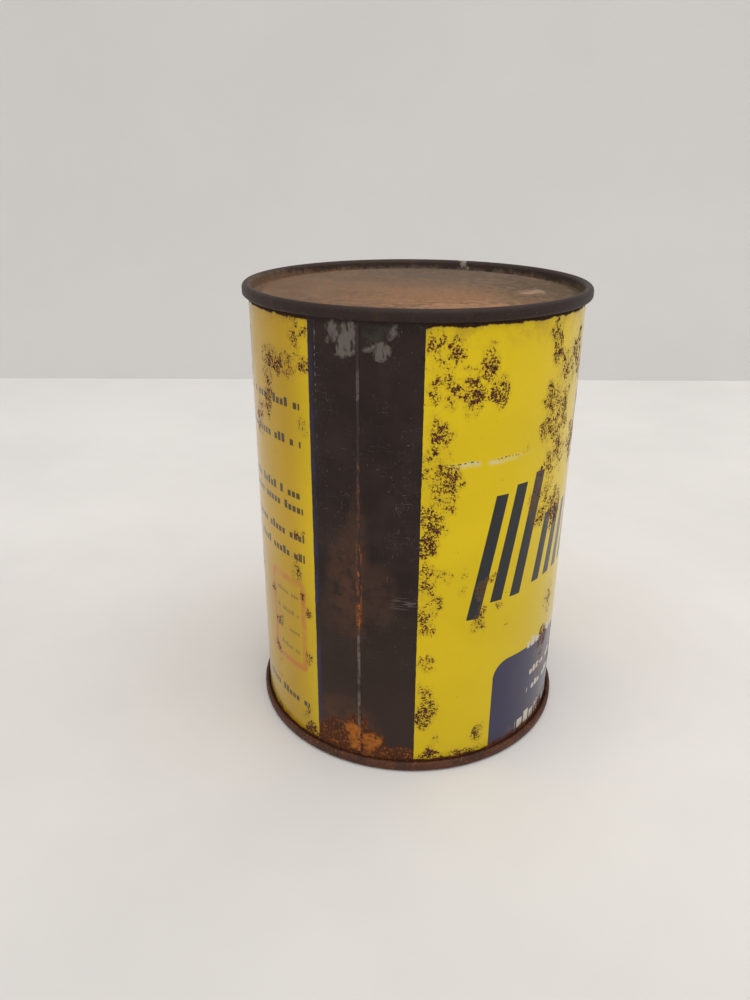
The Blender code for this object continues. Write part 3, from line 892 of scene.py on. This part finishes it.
def lay_out_wall(mesh):
    """Gives the outer wall most of the texture, a strip once round the can, with the rest below it."""
    layer = mesh.uv_layers.new(name="OFBake")
    strip_low, lower_low = 0.115, 0.005
    middle = WALL - BODY_PLATE * 0.2
    for polygon in mesh.polygons:
        centre = polygon.center
        outside = centre.xy.dot(polygon.normal.xy) > 0
        on_wall = outside and abs(centre.xy.length - WALL) < 0.0004 and centre.xy.length > middle
        base = math.atan2(centre.x, -centre.y)
        for loop in polygon.loop_indices:
            corner = mesh.vertices[mesh.loops[loop].vertex_index].co
            turn = math.atan2(corner.x, -corner.y)
            turn += 2 * math.pi * round((base - turn) / (2 * math.pi))
            u = 0.5 + turn / (2 * math.pi) * 0.99
            share = corner.z / TOP
            if on_wall:
                v = strip_low + 0.88 * share
            elif outside:
                v = lower_low + 0.05 * share
            else:
                v = 0.06 + 0.05 * share
            layer.data[loop].uv = (u, v)


class OILCAN_OT_body(bpy.types.Operator):
    """Rolls the can's body: the wall with its flanges, the seam's groove and the print"""

    bl_idname = "oilcan.body"
    bl_label = "Can body"

    def execute(self, context):
        shape = context.scene.can_shape
        bend = (SEAM_RADIUS - END_PLATE - PLY_STEP * 0.55 - WALL) / 2
        rise = 0.00105 + bend
        top_bend = (WALL + bend, TOP - rise)
        bottom_bend = (WALL + bend, rise)
        path = [(top_bend[0] + bend, TOP - 0.0026)]
        path += arc(top_bend, bend, 0, 180, 10)
        path += line((WALL, TOP - rise - 0.0002), (WALL, rise + 0.0002), shape.wall_rows)
        path += arc(bottom_bend, bend, 180, 360, 10)
        path += [(bottom_bend[0] + bend, 0.0026)]
        body = trace("can_body", path)
        spin_round(shape.turns)

        # More columns next to the seam, then the groove between the two edges of the sheet.
        near = 0.0024

        def beside_seam(edge):
            a, b = (v.co for v in edge.verts)
            level = abs(a.z - b.z) < 1e-6
            return level and a.y < 0 and b.y < 0 and max(abs(a.x), abs(b.x)) < near

        bpy.ops.mesh.select_mode(type="EDGE")
        pick(beside_seam, "edges")
        bpy.ops.mesh.subdivide(number_cuts=4)
        bpy.ops.mesh.select_mode(type="VERT")
        low, high = 0.0034, TOP - 0.0034
        width = shape.bead

        def in_groove(vert):
            return vert.co.y < 0 and 0.00005 < vert.co.x < width and low < vert.co.z < high

        pick(in_groove)
        bpy.ops.transform.translate(value=(0, shape.groove, 0))
        deselect()
        body.select_set(True)
        context.view_layer.objects.active = body
        roughen(body, 0.028, shape.dents)
        thicken(body, BODY_PLATE)
        paint_rust(body.data)
        lay_out_wall(body.data)
        finish_piece(body, "body_sheet", printed_sheet_material())
        return {"FINISHED"}


def end_path(place):
    """A pressed end from its centre to the tip of its hook. place turns depth below the rim into height."""
    panel = -PANEL_DEPTH - END_PLATE / 2
    groove = -COUNTERSINK - END_PLATE / 2
    chuck = WALL - 0.00055
    outer = SEAM_RADIUS - END_PLATE / 2
    hook = WALL + 0.0005
    crest = (outer - chuck) / 2
    curl = (outer - hook) / 2
    bead_top = (0.036, panel + 0.0004)
    bead = ease((0.0335, panel), bead_top, 5)[1:] + ease(bead_top, (0.0385, panel), 5)[1:]
    path = line((0.0, panel), (0.0335, panel), 9) + bead + [(0.042, panel)]
    path += ease((0.0452, panel), (0.0472, groove), 7) + ease((0.0479, groove), (0.0488, groove + 0.0004), 4)
    path += [(chuck - 0.00008, groove + 0.0009)]
    path += arc((chuck + crest, -END_PLATE / 2 - crest), crest, 180, 0, 16)
    path += arc((hook + curl, -SEAM_HEIGHT + END_PLATE / 2 + curl), curl, 0, -180, 12)
    path += [(hook, -0.00145)]
    return [(r, place(z)) for r, z in path]


class OILCAN_OT_ends(bpy.types.Operator):
    """Presses the two ends, with their countersinks, crests and hooks"""

    bl_idname = "oilcan.ends"
    bl_label = "Can ends"

    def execute(self, context):
        turns = context.scene.can_shape.turns
        places = {"top_end": lambda z: TOP - CLEARANCE + z, "bottom_end": lambda z: CLEARANCE - z}
        for node, place in places.items():
            end = trace("can_" + node, end_path(place))
            spin_round(turns)
            thicken(end, END_PLATE)
            finish_piece(end, node, end_material("rusty_" + node, node == "top_end"))
        return {"FINISHED"}


class OILCAN_OT_solder(bpy.types.Operator):
    """Runs an uneven bead of solder down the groove of the side seam"""

    bl_idname = "oilcan.solder"
    bl_label = "Seam solder"

    def execute(self, context):
        shape = context.scene.can_shape
        low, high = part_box("side_seam_solder")[0].z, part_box("side_seam_solder")[1].z
        depth = 0.0003
        middle = (shape.bead * 0.52, -WALL + depth / 2 - BODY_PLATE / 2 + 0.00006, (low + high) / 2)
        deselect()
        bpy.ops.mesh.primitive_cube_add(size=1, location=middle, scale=(shape.bead * 0.8, depth, high - low))
        bead = context.object
        bead.name = bead.data.name = "seam_solder"
        bpy.ops.object.transform_apply(location=True, rotation=True, scale=True)
        bpy.ops.object.mode_set(mode="EDIT")
        bpy.ops.mesh.select_mode(type="EDGE")
        pick(lambda edge: abs(edge.verts[0].co.z - edge.verts[1].co.z) > 0.01, "edges")
        bpy.ops.mesh.subdivide(number_cuts=180)
        pick(lambda edge: abs(edge.verts[0].co.x - edge.verts[1].co.x) > shape.bead * 0.5, "edges")
        bpy.ops.mesh.subdivide(number_cuts=4)
        bpy.ops.mesh.select_mode(type="VERT")
        front = middle[1]
        pick(lambda vert: vert.co.y < front and abs(vert.co.x - middle[0]) < shape.bead * 0.3)
        bpy.ops.transform.translate(value=(0, -0.00005, 0))
        deselect()
        bead.select_set(True)
        context.view_layer.objects.active = bead
        roughen(bead, 0.0022, 0.0002)
        bpy.ops.object.shade_smooth_by_angle(angle=math.radians(50))
        finish_piece(bead, "side_seam_solder", solder_material())
        return {"FINISHED"}


class OILCAN_OT_inside(bpy.types.Operator):
    """Gives the pieces inside the can their materials"""

    bl_idname = "oilcan.inside"
    bl_label = "Inside pieces"

    def execute(self, context):
        compound = compound_material()
        oil = oil_material()
        finishes = {"top_seam_compound": compound, "bottom_seam_compound": compound, "oil_fill": oil}
        for name, material in finishes.items():
            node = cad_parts[name]
            node.data.materials.clear()
            node.data.materials.append(material)
        return {"FINISHED"}


def floor_material(name, colour, mottled, painted_light_ramp):
    """A mottled surface with painted light and shade that changes its tone along its own Y; the last argument
    is (start, end, tone, tone).
    """
    material, sheet, shader = new_material(name)
    coords = sheet.add("ShaderNodeTexCoord").outputs["Object"]
    cloud = sheet.noise(coords, 0.12, 4.0, 0.6)
    tone = sheet.fade(cloud, 0.3, 0.7, 1 - mottled, 1.0)
    along = sheet.add("ShaderNodeSeparateXYZ", {0: coords}).outputs["Y"]
    # Painted light and shade along the surface's Y.
    tone = sheet.times(tone, sheet.fade(along, *painted_light_ramp))
    sheet.feed(shader.inputs["Base Color"], sheet.mix(1.0, colour, tone, "MULTIPLY"))
    sheet.feed(shader.inputs["Roughness"], sheet.fade(cloud, 0.3, 0.7, 0.62, 0.7))
    return material


def area_light(name, place, aim, size, power, colour):
    deselect()
    bpy.ops.object.light_add(type="AREA", location=place)
    light = bpy.context.object
    light.name = name
    light.data.shape = "RECTANGLE"
    light.data.size, light.data.size_y = size
    light.data.energy = power
    light.data.color = colour
    light.rotation_euler = (Vector(aim) - Vector(place)).to_track_quat("-Z", "Y").to_euler()
    return light


class OILCAN_OT_stage(bpy.types.Operator):
    """Sets the pale floor and wall, the soft lights and the camera"""

    bl_idname = "oilcan.stage"
    bl_label = "Stage"

    def execute(self, context):
        look = context.scene.can_studio
        ahead = Vector((-math.sin(HEADING), math.cos(HEADING), 0))
        deselect()
        bpy.ops.mesh.primitive_plane_add(size=4, location=(0, 0, 0))
        floor = context.object
        floor.name = "stage_floor"
        # Painted shade and light: the floor is darker towards the camera and lighter behind the can.
        paving = floor_material("stage_floor", look.floor, 0.06, (-0.17, 0.06, 0.94, 1.05))
        floor.data.materials.append(paving)
        middle = Vector((EYE.x, EYE.y, 0)) + ahead * WALL_BEYOND_EYE + Vector((0, 0, 2))
        deselect()
        bpy.ops.mesh.primitive_plane_add(size=4, location=middle, rotation=(math.pi / 2, 0, HEADING))
        wall = context.object
        wall.name = "stage_wall"
        # Painted light: the wall is lighter near its foot.
        wall.data.materials.append(floor_material("stage_wall", look.wall, 0.03, (-2.0, -1.65, 1.09, 0.98)))

        side = Vector((math.cos(HEADING), math.sin(HEADING), 0))
        over = ahead * -0.25 + side * 0.2 + Vector((0, 0, 1.1))
        area_light("key_light", over, (0, 0, 0.05), (1.4, 1.4), look.key_power, (1.0, 0.98, 0.96))
        left = side * -0.9 + ahead * -0.5 + Vector((0, 0, 0.6))
        area_light("fill_light", left, (0, 0, 0.07), (0.8, 0.8), look.fill_power, (0.95, 0.97, 1.0))
        world = bpy.data.worlds.new("pale_surround")
        world.use_nodes = True
        background = world.node_tree.nodes["Background"]
        background.inputs["Color"].default_value = (1.0, 0.99, 0.975, 1.0)
        background.inputs["Strength"].default_value = look.sky
        context.scene.world = world
        context.scene.view_settings.view_transform = "Standard"

        bpy.ops.object.camera_add(location=EYE)
        camera = context.object
        camera.name = "camera"
        camera.data.sensor_width = 36
        camera.data.lens = LENS
        camera.data.clip_start = 0.01
        camera.rotation_mode = "XYZ"
        camera.rotation_euler = (math.radians(90 - PITCH_DOWN), math.radians(ROLL), HEADING)
        context.scene.camera = camera
        return {"FINISHED"}


class OILCAN_PT_panel(bpy.types.Panel):
    """Lists the can's pieces and settings"""

    bl_label = "Oil Can"
    bl_idname = "OILCAN_PT_panel"
    bl_space_type = "VIEW_3D"
    bl_region_type = "UI"
    bl_category = "Oil Can"

    def draw(self, context):
        for settings in (context.scene.can_shape, context.scene.can_paint, context.scene.can_studio):
            box = self.layout.box()
            for name in settings.bl_rna.properties.keys():
                if name not in ("rna_type", "name"):
                    box.prop(settings, name)
        for step in STEPS:
            self.layout.operator(step)


CLASSES = (
    CanShape, CanPaint, StudioLook, OILCAN_OT_body, OILCAN_OT_ends, OILCAN_OT_solder, OILCAN_OT_inside,
    OILCAN_OT_stage, OILCAN_PT_panel,
)
STEPS = ("oilcan.stage", "oilcan.body", "oilcan.ends", "oilcan.solder", "oilcan.inside")


def register():
    for cls in CLASSES:
        bpy.utils.register_class(cls)
    bpy.types.Scene.can_shape = bpy.props.PointerProperty(type=CanShape)
    bpy.types.Scene.can_paint = bpy.props.PointerProperty(type=CanPaint)
    bpy.types.Scene.can_studio = bpy.props.PointerProperty(type=StudioLook)


def unregister():
    for name in ("can_shape", "can_paint", "can_studio"):
        delattr(bpy.types.Scene, name)
    for cls in reversed(CLASSES):
        bpy.utils.unregister_class(cls)


def main():
    register()
    for make_group in GROUPS:
        make_group()
    for step in STEPS:
        module, name = step.split(".")
        getattr(getattr(bpy.ops, module), name)()


if __name__ == "__main__":
    main()
